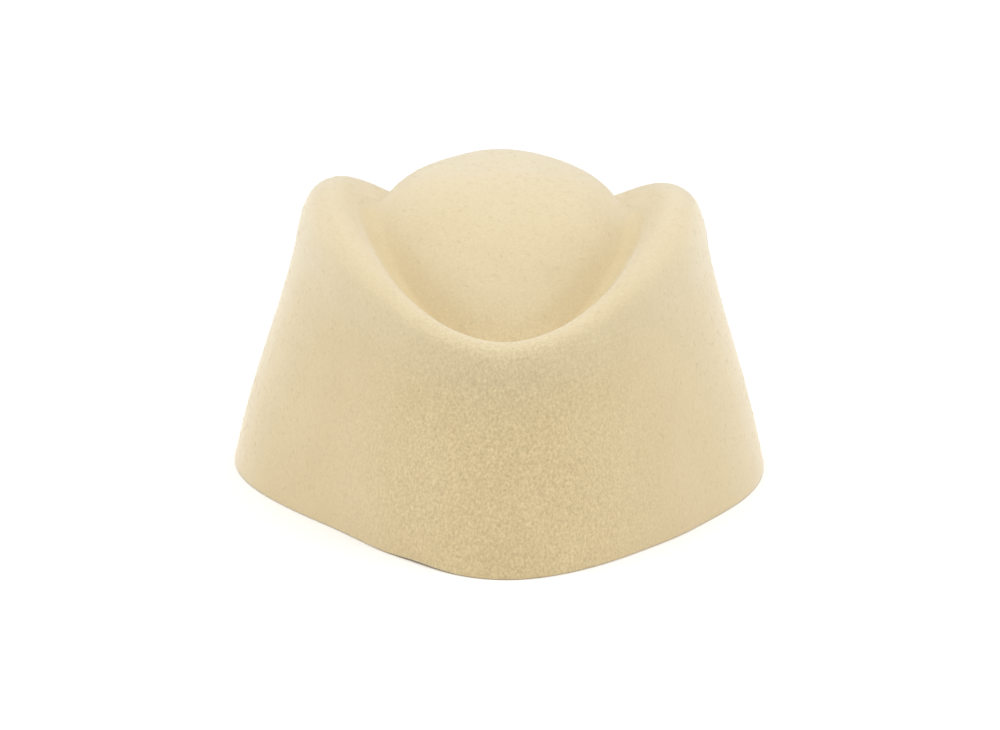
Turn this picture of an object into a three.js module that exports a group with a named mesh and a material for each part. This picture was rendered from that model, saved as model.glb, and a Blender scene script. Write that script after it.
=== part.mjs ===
// A blocked wool-felt hat, made from one felt hood and standing on its rim. A domed crown rises out
// of a soft groove; round the groove the felt is folded over into a crest, which stands up to an ear
// on each side and dips to the front and the back; from the crest a wall flares down to the rim.
//
// Millimetres, +Z up, front towards -Y. The origin is on the ground at the middle of the rim.

import * as THREE from 'three';

// Felt
const FELT_THICKNESS = 2.5;
const FELT_COLOUR = 0xe3d3ae;
const FELT_ROUGHNESS = 0.95;
const FELT_METALNESS = 0;

// Rim: the cut edge that the hat stands on, an oval whose quarters are flattened
const RIM_WIDTH = 174;
const RIM_LENGTH = 222.4;
const RIM_SWELL_DEPTH = 1.4;
const RIM_LIFT_HEIGHT = 0.5;

// Crest: the top of the fold, an oval seen from above; the left ear stands a little higher
const CREST_WIDTH = 110.6;
const CREST_LENGTH = 176;
const CREST_FLATTENING = 0.03;
const EAR_HEIGHT = 91.5;
const EAR_HEIGHT_DIFFERENCE = 1.0;
const FOLD_RADIUS = 9.4;

// Groove: the soft valley between the crest and the crown, its depth below the crest, and its side
// under the crest: the slope in degrees, and the length that is straight at the least
const GROOVE_RADIUS = 5.5;
const GROOVE_DEPTH = 6.8;
const GROOVE_SIDE_SLOPE = 50;
const GROOVE_SIDE_LENGTH = 0.4;

// Crown: the dome in the middle. It falls away from its top by the power of its fullness, and
// where it ramps down instead, by the square
const CROWN_HEIGHT = 98.5;
const CROWN_FULLNESS = 4.2;
const CROWN_RAMP_POWER = 2;

// Wall: how far it sways, in under the fold and out above the rim
const WALL_SWAY_DEPTH = 0.65;

// One row for each place round the hat. Columns are shares of EAR_HEIGHT, FOLD_RADIUS, GROOVE_RADIUS
// and GROOVE_DEPTH; ramp is how much of the crown's fall is a ramp, and rise is the power by which
// the crest climbs from the dip to the ear.
const SECTIONS = {
  side: { height: 1.0, fold: 1.0, groove: 1.0, depth: 1.0, ramp: 0.0 },
  front: { height: 0.734, fold: 0.67, groove: 0.8, depth: 1.35, ramp: 1.0, rise: 1.8 },
  back: { height: 0.66, fold: 0.85, groove: 1.2, depth: 1.0, ramp: 0.0, rise: 2.3 },
};

// How much each quarter of the rim is flattened, as a share of its radius half way round the quarter
const RIM_QUARTERS = {
  frontLeft: 0.145,
  frontRight: 0.095,
  backLeft: 0.12,
  backRight: 0.12,
};

// Where the rim swells out or in and where it lifts off the ground: angle from the front, spread in
// degrees, and share of RIM_SWELL_DEPTH or RIM_LIFT_HEIGHT
const RIM_SWELLS = [
  { name: 'nose', angle: 2, spread: 9, share: 1 },
  { name: 'left of the nose', angle: -15, spread: 6, share: -1 },
  { name: 'left flank', angle: -46, spread: 12, share: 0.5 },
  { name: 'right flank', angle: 38, spread: 9, share: 0.6 },
];
const RIM_LIFTS = [
  { name: 'left of the nose', angle: -14, spread: 6, share: 1 },
];

// Facets: angular steps round the hat, and rings down each stretch of the section
const STEPS_AROUND = 72;
const RINGS = {
  crown: 9,
  groove: 5,
  face: 1,
  fold: 6,
  wall: 6,
};

const QUARTER_TURN = Math.PI / 2;
const SIDE_SLOPE = THREE.MathUtils.degToRad(GROOVE_SIDE_SLOPE);
const SLOPE_STEP = 1e-4;
const FOOT_PASSES = 8;

// The radius of an oval at an angle from the front, with the place reached as shares of its axes
function ovalAt(angle, width, length) {
  const across = Math.sin(angle) / (width / 2);
  const along = Math.cos(angle) / (length / 2);
  const radius = 1 / Math.hypot(across, along);
  return { radius, across: across * radius, along: along * radius };
}

// 0 at the front, the back and the sides, and 1 half way round each quarter
function quarterShare(oval) {
  return (2 * oval.across * oval.along) ** 2;
}

// The sum of a table's rows at an angle, each fading smoothly to nothing away from its middle
function bumpsAt(angle, rows) {
  return rows.reduce((sum, row) => {
    const middle = THREE.MathUtils.degToRad(row.angle);
    const away = Math.atan2(Math.sin(angle - middle), Math.cos(angle - middle));
    return sum + row.share * Math.exp(-((away / THREE.MathUtils.degToRad(row.spread)) ** 2));
  }, 0);
}

function rimAt(angle) {
  const oval = ovalAt(angle, RIM_WIDTH, RIM_LENGTH);
  const end = oval.along > 0 ? 'front' : 'back';
  const side = oval.across < 0 ? 'Left' : 'Right';
  const flattened = oval.radius * (1 - RIM_QUARTERS[end + side] * quarterShare(oval));
  return {
    r: flattened + RIM_SWELL_DEPTH * bumpsAt(angle, RIM_SWELLS),
    z: RIM_LIFT_HEIGHT * bumpsAt(angle, RIM_LIFTS),
  };
}

// A point on an arc of a fold or groove
function onArc(circle, angle) {
  return {
    r: circle.r + circle.radius * Math.cos(angle),
    z: circle.z + circle.radius * Math.sin(angle),
  };
}

// The place on the groove's arc where the crown's own slope is that of the arc
function crownFoot(groove, ramp) {
  const power = THREE.MathUtils.lerp(CROWN_FULLNESS, CROWN_RAMP_POWER, ramp);
  let slope = SIDE_SLOPE;
  let foot = onArc(groove, -QUARTER_TURN - slope);
  for (let pass = 0; pass < FOOT_PASSES; pass += 1) {
    slope = Math.atan((power * (CROWN_HEIGHT - foot.z)) / foot.r);
    foot = onArc(groove, -QUARTER_TURN - slope);
  }
  return { ...foot, slope, ramp };
}

// The named sizes of the section at one angle: side values at the ears, end values front and back
function sectionAt(angle) {
  const oval = ovalAt(angle, CREST_WIDTH, CREST_LENGTH);
  const end = oval.along > 0 ? SECTIONS.front : SECTIONS.back;
  const { side } = SECTIONS;
  const sideways = oval.across ** 2;
  const blend = (column) => THREE.MathUtils.lerp(end[column], side[column], sideways);
  const climb = Math.abs(oval.across) ** end.rise;
  const lean = (EAR_HEIGHT_DIFFERENCE / 2) * oval.across * Math.abs(oval.across);
  const crest = {
    r: oval.radius * (1 - CREST_FLATTENING * quarterShare(oval)),
    z: EAR_HEIGHT * THREE.MathUtils.lerp(end.height, side.height, climb) - lean,
  };
  const foldRadius = FOLD_RADIUS * blend('fold');
  const grooveRadius = GROOVE_RADIUS * blend('groove');
  const arcs = foldRadius + grooveRadius;
  const arcsDepth = arcs * (1 - Math.cos(SIDE_SLOPE));
  const sideDepth = GROOVE_DEPTH * blend('depth') - arcsDepth;
  const straight = Math.max(sideDepth / Math.sin(SIDE_SLOPE), GROOVE_SIDE_LENGTH);
  const reach = arcs * Math.sin(SIDE_SLOPE) + straight * Math.cos(SIDE_SLOPE);
  const depth = arcsDepth + straight * Math.sin(SIDE_SLOPE);
  const groove = { radius: grooveRadius, r: crest.r - reach, z: crest.z - depth + grooveRadius };
  return {
    rim: rimAt(angle),
    fold: { radius: foldRadius, r: crest.r, z: crest.z - foldRadius },
    groove,
    foot: crownFoot(groove, blend('ramp')),
  };
}

// The direction in which the wall leaves the fold, so that it runs down to the rim without a kink
function wallNormal({ fold, rim }) {
  const reach = Math.hypot(rim.r - fold.r, rim.z - fold.z);
  return Math.atan2(rim.z - fold.z, rim.r - fold.r) + Math.acos(fold.radius / reach);
}

// The outer face of the felt in the upright plane at one angle: each stretch runs from share 0 to 1
const STRETCHES = {
  crown({ foot }, share) {
    const fall = THREE.MathUtils.lerp(share ** CROWN_FULLNESS, share ** CROWN_RAMP_POWER, foot.ramp);
    return { r: foot.r * share, z: CROWN_HEIGHT - (CROWN_HEIGHT - foot.z) * fall };
  },
  groove({ groove, foot }, share) {
    return onArc(groove, THREE.MathUtils.lerp(-foot.slope, SIDE_SLOPE, share) - QUARTER_TURN);
  },
  face({ groove, fold }, share) {
    const bottom = onArc(groove, SIDE_SLOPE - QUARTER_TURN);
    const top = onArc(fold, SIDE_SLOPE + QUARTER_TURN);
    return {
      r: THREE.MathUtils.lerp(bottom.r, top.r, share),
      z: THREE.MathUtils.lerp(bottom.z, top.z, share),
    };
  },
  fold(section, share) {
    const inside = SIDE_SLOPE + QUARTER_TURN;
    return onArc(section.fold, THREE.MathUtils.lerp(inside, wallNormal(section), share));
  },
  wall(section, share) {
    const top = onArc(section.fold, wallNormal(section));
    const sway = WALL_SWAY_DEPTH * Math.sin(2 * Math.PI * share);
    return {
      r: THREE.MathUtils.lerp(top.r, section.rim.r, share) - sway,
      z: THREE.MathUtils.lerp(top.z, section.rim.z, share),
    };
  },
};

function outerPoint(angle, stretch, share) {
  const { r, z } = STRETCHES[stretch](sectionAt(angle), share);
  return new THREE.Vector3(r * Math.sin(angle), -r * Math.cos(angle), z);
}

// The slope of the outer face down the section and round the hat, as unit vectors
function slopesAt(angle, stretch, share) {
  const above = Math.max(share - SLOPE_STEP, 0);
  const below = Math.min(share + SLOPE_STEP, 1);
  const down = outerPoint(angle, stretch, below).sub(outerPoint(angle, stretch, above));
  const round = outerPoint(angle + SLOPE_STEP, stretch, share);
  round.sub(outerPoint(angle - SLOPE_STEP, stretch, share));
  return { down: down.normalize(), round: round.normalize() };
}

// The inner face lies one felt thickness in; its lowest ring is slid along the wall to the height
// of the outer one, so that the cut edge is flat
function innerPoint(angle, stretch, share) {
  const { down, round } = slopesAt(angle, stretch, share);
  const inward = new THREE.Vector3().crossVectors(round, down).normalize();
  const outer = outerPoint(angle, stretch, share);
  const inner = outer.clone().addScaledVector(inward, FELT_THICKNESS);
  const onRim = stretch === 'wall' && share === 1;
  return onRim ? inner.addScaledVector(down, (outer.z - inner.z) / down.z) : inner;
}

// Rings of points from the crown down to the rim
function ringsOf(pointAt) {
  const rings = [];
  for (const [stretch, count] of Object.entries(RINGS)) {
    for (let ring = 1; ring <= count; ring += 1) {
      const points = [];
      for (let step = 0; step < STEPS_AROUND; step += 1) {
        points.push(pointAt((2 * Math.PI * step) / STEPS_AROUND, stretch, ring / count));
      }
      rings.push(points);
    }
  }
  return rings;
}

// One closed body: pole, outer rings down to the rim, inner rings back up, pole
function feltGeometry() {
  const rings = [...ringsOf(outerPoint), ...ringsOf(innerPoint).reverse()];
  const outerPole = new THREE.Vector3(0, 0, CROWN_HEIGHT);
  const innerPole = new THREE.Vector3(0, 0, CROWN_HEIGHT - FELT_THICKNESS);
  const points = [outerPole, ...rings.flat(), innerPole];
  const indexOf = (ring, step) => 1 + ring * STEPS_AROUND + (step % STEPS_AROUND);
  const last = rings.length - 1;
  const triangles = [];
  for (let step = 0; step < STEPS_AROUND; step += 1) {
    triangles.push(0, indexOf(0, step), indexOf(0, step + 1));
    for (let ring = 0; ring < last; ring += 1) {
      const corner = indexOf(ring, step);
      const opposite = indexOf(ring + 1, step + 1);
      triangles.push(corner, indexOf(ring + 1, step), opposite);
      triangles.push(corner, opposite, indexOf(ring, step + 1));
    }
    triangles.push(indexOf(last, step), points.length - 1, indexOf(last, step + 1));
  }
  const geometry = new THREE.BufferGeometry().setFromPoints(points);
  geometry.setIndex(triangles);
  centreOnGround(geometry);
  geometry.computeVertexNormals();
  return geometry;
}

// The middle of the rim's box goes over the origin
function centreOnGround(geometry) {
  geometry.computeBoundingBox();
  const middle = geometry.boundingBox.getCenter(new THREE.Vector3());
  geometry.translate(-middle.x, -middle.y, 0);
}

function feltMaterial() {
  return new THREE.MeshStandardMaterial({
    name: 'wool_felt',
    color: FELT_COLOUR,
    roughness: FELT_ROUGHNESS,
    metalness: FELT_METALNESS,
  });
}

const hat = new THREE.Group();
hat.name = 'hat';

const feltBody = new THREE.Mesh(feltGeometry(), feltMaterial());
feltBody.name = 'felt_body';
hat.add(feltBody);

export default hat;
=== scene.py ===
# A cream wool-felt hat: one felt shell with a short nap, standing on a pale floor.
import math

import bmesh
import bpy
import numpy as np
from mathutils import Euler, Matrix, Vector, noise


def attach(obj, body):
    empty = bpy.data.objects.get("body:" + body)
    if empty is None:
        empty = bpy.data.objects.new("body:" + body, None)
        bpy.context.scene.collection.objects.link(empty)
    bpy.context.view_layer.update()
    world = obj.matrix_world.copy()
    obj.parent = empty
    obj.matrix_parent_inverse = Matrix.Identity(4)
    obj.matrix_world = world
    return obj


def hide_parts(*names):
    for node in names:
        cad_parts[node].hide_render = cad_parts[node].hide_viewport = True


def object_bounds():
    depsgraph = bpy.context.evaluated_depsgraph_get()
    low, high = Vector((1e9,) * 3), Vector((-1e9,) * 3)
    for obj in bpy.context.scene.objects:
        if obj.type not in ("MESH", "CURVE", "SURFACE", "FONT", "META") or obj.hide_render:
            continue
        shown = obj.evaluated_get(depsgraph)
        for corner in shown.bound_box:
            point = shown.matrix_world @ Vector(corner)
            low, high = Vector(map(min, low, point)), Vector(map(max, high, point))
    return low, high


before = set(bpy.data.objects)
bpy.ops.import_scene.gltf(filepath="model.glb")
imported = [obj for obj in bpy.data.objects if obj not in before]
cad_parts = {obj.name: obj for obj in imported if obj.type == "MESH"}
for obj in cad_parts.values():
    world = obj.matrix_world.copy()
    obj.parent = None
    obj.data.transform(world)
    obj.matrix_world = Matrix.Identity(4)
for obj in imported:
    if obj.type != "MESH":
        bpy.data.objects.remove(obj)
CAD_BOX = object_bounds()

MM = 0.001
WHITE = (1.0, 1.0, 1.0, 1.0)
FELT_NODE = "felt_body"

# The camera: where it stands round the hat, and what it looks at
CAMERA_AZIMUTH = math.radians(-0.28)
CAMERA_ELEVATION = math.radians(17.5)
CAMERA_ROLL = math.radians(0.8)
CAMERA_DISTANCE = 1250 * MM
CAMERA_LENS = 137.75
CAMERA_CLIP = (0.05, 50.0)
CAMERA_AIM = Vector((-0.2 * MM, 0.7 * MM, 32.5 * MM))

# The floor, just clear of the rim, and the light: a white tent and three square soft boxes
FLOOR_REACH = 40.0
FLOOR_GAP = 0.02 * MM
FLOOR_COLOUR = (0.98, 0.98, 0.98, 1.0)
FLOOR_ROUGHNESS = 0.9
TENT_STRENGTH = 0.62
SOFT_BOXES = (
    {"name": "top", "place": (0.0, 0.0, 1.5), "side": 1.4, "power": 14},
    {"name": "left", "place": (-1.4, 0.0, 0.6), "side": 1.0, "power": 3},
    {"name": "right", "place": (1.4, 0.0, 0.6), "side": 1.0, "power": 3},
)

# The felt surface: how finely it is made, and how its cut edge is softened
STEPS_AROUND = 360
OUTER_SPACING = 1.8 * MM
INNER_SPACING = 3.6 * MM
SAME_POINT = 0.001 * MM
RIM_SOFTNESS = 0.7 * MM
RIM_SEGMENTS = 3
RIM_CORNER = math.radians(50)

# Waves in the felt, from the hand blocking down to the matted wool, and how far up from the ground
# they grow to their full height
FELT_WAVES = (
    {"length": 42 * MM, "height": 0.2 * MM, "seed": 3.1},
    {"length": 15 * MM, "height": 0.04 * MM, "seed": 11.7},
    {"length": 5 * MM, "height": 0.012 * MM, "seed": 23.9},
)
WAVES_GROW = 3 * MM

# The wool's grain: its two colours and where on the grain they begin, how fine it is per metre, how
# it is drawn out upwards, how detailed, ragged and warped it is, and how it stands in relief
FELT_DARK = (0.57, 0.46, 0.273, 1.0)
FELT_PALE = (0.83, 0.705, 0.445, 1.0)
FELT_ENDS = (0.2, 0.8)
GRAIN_PER_METRE = 1250.0
GRAIN_DRAWN = (1.0, 1.0, 0.8)
GRAIN_DETAIL = 2.5
GRAIN_RAGGED = 0.65
GRAIN_WARP = 0.4
GRAIN_STRENGTH = 0.5
GRAIN_DEPTH = 0.12 * MM

# Its shine: a dull surface with a soft pile
FELT_ROUGHNESS = 0.8
FELT_SPECULAR = 0.6
FELT_SHEEN = 0.8
FELT_SHEEN_ROUGHNESS = 0.5
FELT_SHEEN_TINT = (1.0, 0.975, 0.9, 1.0)

# The front is rubbed rougher: where, how far it reaches, and how strong the grain is there and beyond
RUBBED_PLACE = (0.0, -0.11, 0.022)
RUBBED_REACH = (0.02, 0.08)
RUBBED_GRAIN = (1.4, 0.4)

# What darkens the wool: fine specks, a few larger motes and broad clouds, with the span over which
# each one's tint fades out
SPECKS = {"per_metre": 420.0, "span": (0.02, 0.14), "tint": (0.93, 0.91, 0.87, 1.0)}
MOTES = {"per_metre": 75.0, "span": (0.016, 0.032), "tint": (0.72, 0.66, 0.54, 1.0)}
CLOUDS = {"per_metre": 45.0, "span": (0.3, 0.7), "tint": (0.965, 0.955, 0.93, 1.0)}
CLOUDS_DETAIL = 2.0

# Painted shade: the wall below the crest faces away from the light from above, so it is painted a shade
# darker and more golden than the crest and crown: the tint, and how far below the crest it begins and is
# full
WALL_SHADE_TINT = (0.97, 0.925, 0.82, 1.0)
WALL_SHADE_SPAN = (-4 * MM, 28 * MM)

# Painted shade in the groove's floor, darkest at the front: its tint, and where it begins, is fullest and
# ends, on a scale from 0 at the floor to 1 at the crest
GROOVE_SHADE_TINT = (0.9, 0.883, 0.80, 1.0)
GROOVE_SHADE_SPAN = (-0.5, 0.14, 0.75)

# The nap: loose wool fibres that lie on the felt, fewer on the inner face, none at the cut edge
NAP_INSIDE = 0.12
NAP_CLEAR = 2.0 * MM
NAP_INPUTS = (
    {"name": "Fibres per square metre", "kind": "NodeSocketFloat", "value": 135000.0},
    {"name": "Length", "kind": "NodeSocketFloat", "value": 1.4 * MM},
    {"name": "Radius", "kind": "NodeSocketFloat", "value": 0.024 * MM},
    {"name": "Curl", "kind": "NodeSocketFloat", "value": 0.35 * MM},
    {"name": "Lift", "kind": "NodeSocketFloat", "value": math.radians(10)},
    {"name": "Seed", "kind": "NodeSocketInt", "value": 7},
)

# A fibre bends at a share of its length, its tip swings back by a share of the curl and thins to a
# share of the radius, and each fibre has its own share of the full length
FIBRE_BEND = 0.35
FIBRE_SWING = -0.6
FIBRE_TIP = 0.35
FIBRE_STEPS = 3
FIBRE_SIDES = 3
FIBRE_LENGTHS = (0.45, 1.3)
FIBRE_LENGTHS_SEED = 29

# The fibres' two colours, where on their mix they begin, how fine it is per metre, and their shine
NAP_DARK = (0.72, 0.59, 0.37, 1.0)
NAP_PALE = (0.84, 0.73, 0.49, 1.0)
NAP_ENDS = (0.3, 0.6)
NAP_MIX_PER_METRE = 900.0
NAP_MIX_DETAIL = 1.0
NAP_ROUGHNESS = 0.7
NAP_SHEEN = 0.3


class Nodes:
    """A node tree, built from left to right."""

    def __init__(self, tree):
        self.tree = tree

    def add(self, kind, settings=None, **inputs):
        """A node with its settings and its inputs."""
        node = self.tree.nodes.new(kind)
        for name, value in (settings or {}).items():
            setattr(node, name, value)
        self.feed(node, **inputs)
        return node

    def feed(self, node, **inputs):
        """Gives a node's named inputs their values."""
        for name, value in inputs.items():
            title = name.replace("_", " ").lower()
            self.give(next(s for s in node.inputs if s.name.lower() == title and s.enabled), value)

    def give(self, socket, value):
        """Links a socket to an input, or sets the input to a plain value."""
        if isinstance(value, bpy.types.NodeSocket):
            self.tree.links.new(value, socket)
        else:
            socket.default_value = value

    def math(self, operation, *values):
        """One step of arithmetic."""
        node = self.add("ShaderNodeMath", {"operation": operation})
        for socket, value in zip(node.inputs, values):
            self.give(socket, value)
        return node.outputs[0]

    def vector(self, x, y, z):
        """A vector from its three parts."""
        return self.add("ShaderNodeCombineXYZ", X=x, Y=y, Z=z).outputs[0]

    def place(self):
        """Where on the hat a point of the surface lies."""
        return self.add("ShaderNodeTexCoord").outputs["Object"]

    def marked(self, name):
        """The number that each point of the mesh carries under a name."""
        return self.add("ShaderNodeAttribute", {"attribute_name": name}).outputs["Fac"]

    def faded(self, value, span, ends):
        """A number that goes smoothly from one end to the other while a value crosses a span."""
        node = self.add(
            "ShaderNodeMapRange", {"interpolation_type": "SMOOTHSTEP"}, Value=value,
            From_Min=span[0], From_Max=span[1], To_Min=ends[0], To_Max=ends[1],
        )
        return node.outputs["Result"]

    def two_tone(self, mask, span, low, high):
        """A colour that goes from one to the other while a mask crosses a span."""
        node = self.add("ShaderNodeValToRGB", Fac=mask)
        for stop, position, colour in zip(node.color_ramp.elements, span, (low, high)):
            stop.position = position
            stop.color = colour
        return node.outputs["Color"]

    def tinted(self, colour, mask, span, tint):
        """A colour that is multiplied by a tint at the low end of a mask."""
        mix = self.add("ShaderNodeMix", {"data_type": "RGBA", "blend_type": "MULTIPLY"}, Factor=1.0)
        self.feed(mix, A=colour, B=self.two_tone(mask, span, tint, WHITE))
        return mix.outputs[2]


def new_material(name):
    """A material, the builder of its nodes, and the shader that they feed."""
    material = bpy.data.materials.new(name)
    material.use_nodes = True
    return material, Nodes(material.node_tree), material.node_tree.nodes["Principled BSDF"]


def add_object(name, data):
    """An object at the origin, in the scene."""
    thing = bpy.data.objects.new(name, data)
    bpy.context.scene.collection.objects.link(thing)
    return thing


def plain_mesh(piece):
    """Turns what the modifiers make of a piece into its own mesh."""
    graph = bpy.context.evaluated_depsgraph_get()
    mesh = bpy.data.meshes.new_from_object(piece.evaluated_get(graph))
    piece.modifiers.clear()
    old = piece.data
    piece.data = mesh
    bpy.data.meshes.remove(old)
    mesh.name = piece.name


def make_camera():
    """Looks at the hat from the front, a little above it."""
    back = Vector((
        math.sin(CAMERA_AZIMUTH) * math.cos(CAMERA_ELEVATION),
        -math.cos(CAMERA_AZIMUTH) * math.cos(CAMERA_ELEVATION),
        math.sin(CAMERA_ELEVATION),
    ))
    data = bpy.data.cameras.new("camera")
    data.lens = CAMERA_LENS
    data.clip_start, data.clip_end = CAMERA_CLIP
    camera = add_object("camera", data)
    camera.location = CAMERA_AIM + back * CAMERA_DISTANCE
    turn = (-back).to_track_quat("-Z", "Y").to_matrix()
    roll = Euler((0, 0, CAMERA_ROLL)).to_matrix()
    camera.rotation_euler = (turn @ roll).to_euler()
    bpy.context.scene.camera = camera


def make_floor():
    """A pale, flat floor that the hat stands on."""
    mesh = bpy.data.meshes.new("floor")
    corners = [(x * FLOOR_REACH, y * FLOOR_REACH, 0) for x, y in ((-1, -1), (1, -1), (1, 1), (-1, 1))]
    mesh.from_pydata(corners, [], [(0, 1, 2, 3)])
    floor = add_object("floor", mesh)
    floor.location.z = CAD_BOX[0].z - FLOOR_GAP
    material, build, shader = new_material("floor")
    build.feed(shader, Base_Color=FLOOR_COLOUR, Roughness=FLOOR_ROUGHNESS, Specular_IOR_Level=0.0)
    mesh.materials.append(material)


def make_light():
    """A tent of white light, a soft box over the hat and one at each side."""
    world = bpy.data.worlds.new("tent")
    world.use_nodes = True
    background = world.node_tree.nodes["Background"]
    background.inputs["Color"].default_value = WHITE
    background.inputs["Strength"].default_value = TENT_STRENGTH
    bpy.context.scene.world = world
    for box in SOFT_BOXES:
        data = bpy.data.lights.new(box["name"], "AREA")
        data.size = box["side"]
        data.energy = box["power"]
        light = add_object(box["name"], data)
        light.location = box["place"]
        light.rotation_euler = (CAMERA_AIM - light.location).to_track_quat("-Z", "Y").to_euler()


def felt_rings(node):
    """The body's points in rings, from the top of the crown down to the rim and up again inside."""
    body = bmesh.new()
    body.from_mesh(node.data)
    bmesh.ops.remove_doubles(body, verts=body.verts, dist=SAME_POINT)
    pole = max(body.verts, key=lambda point: point.co.z)

    def beside(point):
        return {edge.other_vert(point) for edge in point.link_edges}

    def turn_of(point):
        away = point.co - pole.co
        return math.atan2(away.x, -away.y)

    # Two neighbours in a ring share one point that was not met yet, and it is in the next ring
    rings = []
    seen = {pole}
    ring = sorted(beside(pole), key=turn_of)
    while len(set(ring)) > 1:
        rings.append([tuple(point.co) for point in ring])
        seen.update(ring)
        ring = [
            next(iter((beside(ring[step - 1]) & beside(ring[step])) - seen))
            for step in range(len(ring))
        ]
    inner_pole = ring[0].co.copy()
    outer_pole = pole.co.copy()
    body.free()
    return np.array(outer_pole), np.array(rings), np.array(inner_pole)


def finer_round(rings, steps):
    """Each ring with more points, on the smoothest closed curve through the ones it has."""
    count = rings.shape[1]
    waves = np.fft.rfft(rings, axis=1)
    wider = np.zeros((rings.shape[0], steps // 2 + 1, 3), dtype=complex)
    wider[:, : waves.shape[1]] = waves
    # The shortest wave counts once in the coarse ring and twice in the finer one, so it is halved
    wider[:, count // 2] *= 0.5
    return np.fft.irfft(wider, n=steps, axis=1) * (steps / count)


def slopes(points, gaps):
    """The slope at each ring of the curves down the rings: the parabola's through its neighbours."""
    steps = (points[1:] - points[:-1]) / gaps
    weight = gaps[:-1] / (gaps[:-1] + gaps[1:])
    middle = steps[:-1] * (1 - weight) + steps[1:] * weight
    return np.concatenate([steps[:1], middle, steps[-1:]])


def finer_down(pole, rings, spacing):
    """Rings at a closer spacing, on smooth curves that run over the pole and down through the rings."""
    half = rings.shape[1] // 2
    opposite = np.roll(rings[0], half, axis=0)
    top = np.broadcast_to(pole, rings[0].shape)
    points = np.concatenate([[opposite], [top], rings])
    gaps = np.linalg.norm(points[1:] - points[:-1], axis=2, keepdims=True)
    slope = slopes(points, gaps)
    finer = []
    for ring in range(1, len(points) - 1):
        start, end, gap = points[ring], points[ring + 1], gaps[ring]
        pieces = max(1, math.ceil(float(gap.mean()) / spacing))
        for piece in range(1, pieces + 1):
            t = piece / pieces
            finer.append(
                start * (2 * t**3 - 3 * t**2 + 1)
                + end * (3 * t**2 - 2 * t**3)
                + slope[ring] * gap * (t**3 - 2 * t**2 + t)
                + slope[ring + 1] * gap * (t**3 - t**2)
            )
    return np.array(finer)


def shell_mesh(name, outer_pole, outer, inner, inner_pole):
    """A closed shell of quads: outer rings down, inner rings up, and a fan at each pole."""
    rings = np.concatenate([outer, inner])
    count, steps = rings.shape[:2]
    points = np.concatenate([[outer_pole], rings.reshape(-1, 3), [inner_pole]])

    def at(ring, step):
        return 1 + ring * steps + step % steps

    faces = []
    last = len(points) - 1
    for step in range(steps):
        faces.append((0, at(0, step), at(0, step + 1)))
        faces.append((last, at(count - 1, step + 1), at(count - 1, step)))
        for ring in range(count - 1):
            corners = (at(ring, step), at(ring + 1, step), at(ring + 1, step + 1), at(ring, step + 1))
            faces.append(corners)
    mesh = bpy.data.meshes.new(name)
    mesh.from_pydata(points.tolist(), [], faces)
    mesh.shade_smooth()
    return mesh


def heights(mesh):
    """The height of each point of a mesh."""
    return np.array([vertex.co.z for vertex in mesh.vertices])


def mark(mesh, name, values):
    """Writes a number on each point of a mesh."""
    mesh.attributes.new(name, "FLOAT", "POINT").data.foreach_set("value", values.astype(np.float32))


def mark_nap(mesh, outer):
    """How much nap each point carries: all of it outside, a little inside, none at the cut edge."""
    share = np.full(len(mesh.vertices), NAP_INSIDE)
    share[: 1 + outer[:, :, 0].size] = 1.0
    share[heights(mesh) < NAP_CLEAR] = 0.0
    mark(mesh, "nap", share)


def groove_and_crest(outer):
    """Which ring is the groove's floor and which is the crest, at each step round the hat."""
    height = outer[:, :, 2]
    highest_beyond = np.maximum.accumulate(height[::-1], axis=0)[::-1]
    groove = (highest_beyond - height).argmax(axis=0)[None]
    beyond = np.arange(len(outer))[:, None] > groove
    crest = np.where(beyond, height, 0.0).argmax(axis=0)[None]
    return groove, crest


def mark_wall(mesh, outer):
    """How far each point lies below the crest beside it."""
    groove, crest = groove_and_crest(outer)
    crest_height = np.take_along_axis(outer[:, :, 2], crest, axis=0)[0]
    rings = (len(mesh.vertices) - 2) // len(crest_height)
    middle = [crest_height.mean()]
    above = np.concatenate([middle, np.tile(crest_height, rings), middle])
    mark(mesh, "below_crest", above - heights(mesh))


def mark_groove_shade(mesh, outer):
    """How clear each point is of the painted shade in the groove's floor, which is darkest at the front."""
    groove, crest = groove_and_crest(outer)
    radius = np.hypot(outer[:, :, 0], outer[:, :, 1])
    groove_radius = np.take_along_axis(radius, groove, axis=0)
    crest_radius = np.take_along_axis(radius, crest, axis=0)
    across = (radius - groove_radius) / (crest_radius - groove_radius)

    # From 1 at the front over a half at the sides to nothing at the back
    towards_front = 0.5 - 0.5 * outer[:, :, 1] / radius
    shaded_share = np.interp(across, GROOVE_SHADE_SPAN, (0, 1, 0)) * towards_front
    clear = np.ones(len(mesh.vertices))
    clear[1 : 1 + shaded_share.size] -= shaded_share.reshape(-1)
    mark(mesh, "clear_of_painted_groove_shade", clear)


def ripple(mesh):
    """Moves each point along its normal by the felt's waves."""
    mesh.update()
    for vertex, normal in zip(mesh.vertices, [v.normal.copy() for v in mesh.vertices]):
        rise = sum(
            wave["height"] * noise.noise(vertex.co / wave["length"] + Vector((wave["seed"],) * 3))
            for wave in FELT_WAVES
        )
        share = min(1.0, max(0.0, vertex.co.z / WAVES_GROW))
        vertex.co += normal * rise * share
    mesh.update()


def rubbed(build, place, grain):
    """Makes the grain stronger where the felt is rubbed and weaker beyond."""
    away = build.add("ShaderNodeVectorMath", {"operation": "DISTANCE"})
    build.give(away.inputs[0], place)
    build.give(away.inputs[1], RUBBED_PLACE)
    strength = build.faded(away.outputs["Value"], RUBBED_REACH, RUBBED_GRAIN)
    return build.math("MULTIPLY_ADD", build.math("SUBTRACT", grain, 0.5), strength, 0.5)


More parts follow.
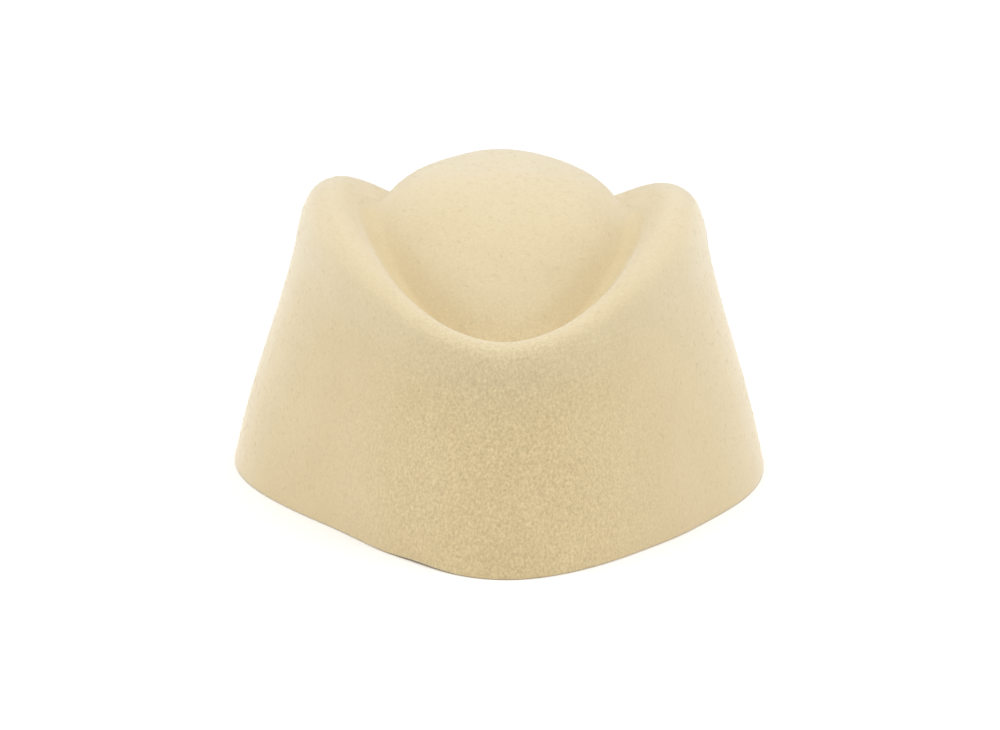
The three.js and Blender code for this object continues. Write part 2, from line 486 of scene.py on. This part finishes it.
def felt_material():
    """Matted wool: cream, speckled by its fibres, with a soft pile that catches light at the edges, and
    painted shade on the wall and in the groove.
    """
    material, build, shader = new_material("wool_felt")
    place = build.place()

    # Fibres lie along the pull of the block, so the grain is drawn out up and down the walls
    drawn = build.add("ShaderNodeMapping", Vector=place, Scale=GRAIN_DRAWN).outputs["Vector"]
    matted = build.add("ShaderNodeTexNoise", Vector=drawn, Scale=GRAIN_PER_METRE, Detail=GRAIN_DETAIL)
    build.feed(matted, Roughness=GRAIN_RAGGED, Distortion=GRAIN_WARP)
    grain = rubbed(build, place, matted.outputs["Fac"])
    colour = build.two_tone(grain, FELT_ENDS, FELT_DARK, FELT_PALE)

    for spots in (SPECKS, MOTES):
        spotted = build.add("ShaderNodeTexVoronoi", Vector=place, Scale=spots["per_metre"])
        colour = build.tinted(colour, spotted.outputs["Distance"], spots["span"], spots["tint"])
    clouded = build.add("ShaderNodeTexNoise", Vector=place, Scale=CLOUDS["per_metre"], Detail=CLOUDS_DETAIL)
    colour = build.tinted(colour, clouded.outputs["Fac"], CLOUDS["span"], CLOUDS["tint"])
    # Painted shade: the wall below the crest is painted darker and more golden, as if shaded from the light
    # above
    above = build.faded(build.marked("below_crest"), WALL_SHADE_SPAN, (1.0, 0.0))
    colour = build.tinted(colour, above, (0.0, 1.0), WALL_SHADE_TINT)
    # Painted shade: the groove's floor is painted darker, most at the front, as if shaded in the recess
    colour = build.tinted(colour, build.marked("clear_of_painted_groove_shade"), (0.0, 1.0), GROOVE_SHADE_TINT)

    lumps = build.add("ShaderNodeBump", Strength=GRAIN_STRENGTH, Distance=GRAIN_DEPTH, Height=grain)
    build.feed(shader, Base_Color=colour, Normal=lumps.outputs["Normal"])
    build.feed(shader, Roughness=FELT_ROUGHNESS, Specular_IOR_Level=FELT_SPECULAR)
    build.feed(shader, Sheen_Weight=FELT_SHEEN, Sheen_Roughness=FELT_SHEEN_ROUGHNESS)
    build.feed(shader, Sheen_Tint=FELT_SHEEN_TINT)
    return material


def make_felt(material):
    """The felt shell, made finer through the body's own rings, with its cut edge softened."""
    outer_pole, rings, inner_pole = felt_rings(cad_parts[FELT_NODE])
    rings = finer_round(rings, STEPS_AROUND)
    half = len(rings) // 2
    outer = finer_down(outer_pole, rings[:half], OUTER_SPACING)
    inner = finer_down(inner_pole, rings[half:][::-1], INNER_SPACING)[::-1]
    mesh = shell_mesh("felt_shell", outer_pole, outer, inner, inner_pole)
    mark_nap(mesh, outer)
    mark_wall(mesh, outer)
    mark_groove_shade(mesh, outer)
    ripple(mesh)
    felt = add_object("felt_shell", mesh)
    soften = felt.modifiers.new("soft rim", "BEVEL")
    soften.width = RIM_SOFTNESS
    soften.segments = RIM_SEGMENTS
    soften.limit_method = "ANGLE"
    soften.angle_limit = RIM_CORNER
    plain_mesh(felt)
    felt.data.shade_smooth()
    felt.data.materials.append(material)
    return felt


def nap_material():
    """Loose fibres: the same wool, a little paler than the mat."""
    material, build, shader = new_material("wool_nap")
    mixed = build.add("ShaderNodeTexNoise", Vector=build.place(), Scale=NAP_MIX_PER_METRE)
    build.feed(mixed, Detail=NAP_MIX_DETAIL)
    colour = build.two_tone(mixed.outputs["Fac"], NAP_ENDS, NAP_DARK, NAP_PALE)
    build.feed(shader, Base_Color=colour, Roughness=NAP_ROUGHNESS, Sheen_Weight=NAP_SHEEN)
    return material


def fibre(build, given):
    """One fibre along +X, curled sideways and rising, thick at the root and thin at the tip."""
    length = given["Length"]
    curl = given["Curl"]
    bend = build.math("MULTIPLY", length, FIBRE_BEND)
    swing = build.math("MULTIPLY", curl, FIBRE_SWING)
    rise = build.math("MULTIPLY", length, build.math("SINE", given["Lift"]))
    spine = build.add("GeometryNodeCurvePrimitiveBezierSegment", Resolution=FIBRE_STEPS, Start=(0, 0, 0))
    build.feed(spine, Start_Handle=build.vector(bend, curl, 0.0))
    build.feed(spine, End_Handle=build.vector(length, curl, 0.0))
    build.feed(spine, End=build.vector(length, swing, rise))

    along = build.add("GeometryNodeSplineParameter").outputs["Factor"]
    thin = build.add("ShaderNodeMapRange", Value=along, To_Min=1.0, To_Max=FIBRE_TIP)
    tapered = build.add(
        "GeometryNodeSetCurveRadius", Curve=spine.outputs["Curve"], Radius=thin.outputs["Result"]
    )
    section = build.add(
        "GeometryNodeCurvePrimitiveCircle", {"mode": "RADIUS"},
        Resolution=FIBRE_SIDES, Radius=given["Radius"],
    )
    solid = build.add(
        "GeometryNodeCurveToMesh", Curve=tapered.outputs["Curve"],
        Profile_Curve=section.outputs["Curve"], Fill_Caps=True,
    )
    return solid.outputs["Mesh"]


def nap_tree(material):
    """Scatters curled fibres over a surface, by the nap that its points carry."""
    tree = bpy.data.node_groups.new("wool nap", "GeometryNodeTree")
    face = tree.interface
    face.new_socket("Geometry", in_out="INPUT", socket_type="NodeSocketGeometry")
    face.new_socket("Geometry", in_out="OUTPUT", socket_type="NodeSocketGeometry")
    for item in NAP_INPUTS:
        face.new_socket(item["name"], in_out="INPUT", socket_type=item["kind"])
    build = Nodes(tree)
    given = tree.nodes.new("NodeGroupInput").outputs

    share = build.add("GeometryNodeInputNamedAttribute", {"data_type": "FLOAT"}, Name="nap")
    density = build.math("MULTIPLY", given["Fibres per square metre"], share.outputs["Attribute"])
    roots = build.add(
        "GeometryNodeDistributePointsOnFaces", {"distribute_method": "RANDOM"},
        Mesh=given["Geometry"], Density=density, Seed=given["Seed"],
    )

    # Each root turns its fibre about the surface's normal and gives it a length of its own
    spin = build.add("FunctionNodeRandomValue", {"data_type": "FLOAT"}, Seed=given["Seed"])
    build.feed(spin, Min=0.0, Max=2 * math.pi)
    turn = build.add(
        "FunctionNodeRotateRotation", {"rotation_space": "LOCAL"}, Rotation=roots.outputs["Rotation"],
        Rotate_By=build.vector(0.0, 0.0, spin.outputs[1]),
    )
    tall = build.add("FunctionNodeRandomValue", {"data_type": "FLOAT"}, Seed=FIBRE_LENGTHS_SEED)
    build.feed(tall, Min=FIBRE_LENGTHS[0], Max=FIBRE_LENGTHS[1])
    placed = build.add(
        "GeometryNodeInstanceOnPoints", Points=roots.outputs["Points"], Instance=fibre(build, given),
        Rotation=turn.outputs["Rotation"], Scale=tall.outputs[1],
    )
    real = build.add("GeometryNodeRealizeInstances", Geometry=placed.outputs["Instances"])
    finish = build.add("GeometryNodeSetMaterial", Geometry=real.outputs["Geometry"], Material=material)
    build.add("NodeGroupOutput", Geometry=finish.outputs["Geometry"])
    return tree


def make_nap(felt, material):
    """The fibres as one piece of their own, grown on the felt."""
    nap = add_object("wool_nap", felt.data.copy())
    grow = nap.modifiers.new("grow", "NODES")
    grow.node_group = nap_tree(material)
    identifiers = {item.name: item.identifier for item in grow.node_group.interface.items_tree}
    for item in NAP_INPUTS:
        grow[identifiers[item["name"]]] = item["value"]
    plain_mesh(nap)
    return nap


bpy.context.scene.view_settings.view_transform = "Standard"
make_camera()
make_floor()
make_light()

felt = make_felt(felt_material())
nap = make_nap(felt, nap_material())
for piece in (felt, nap):
    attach(piece, "root")
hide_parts(FELT_NODE)
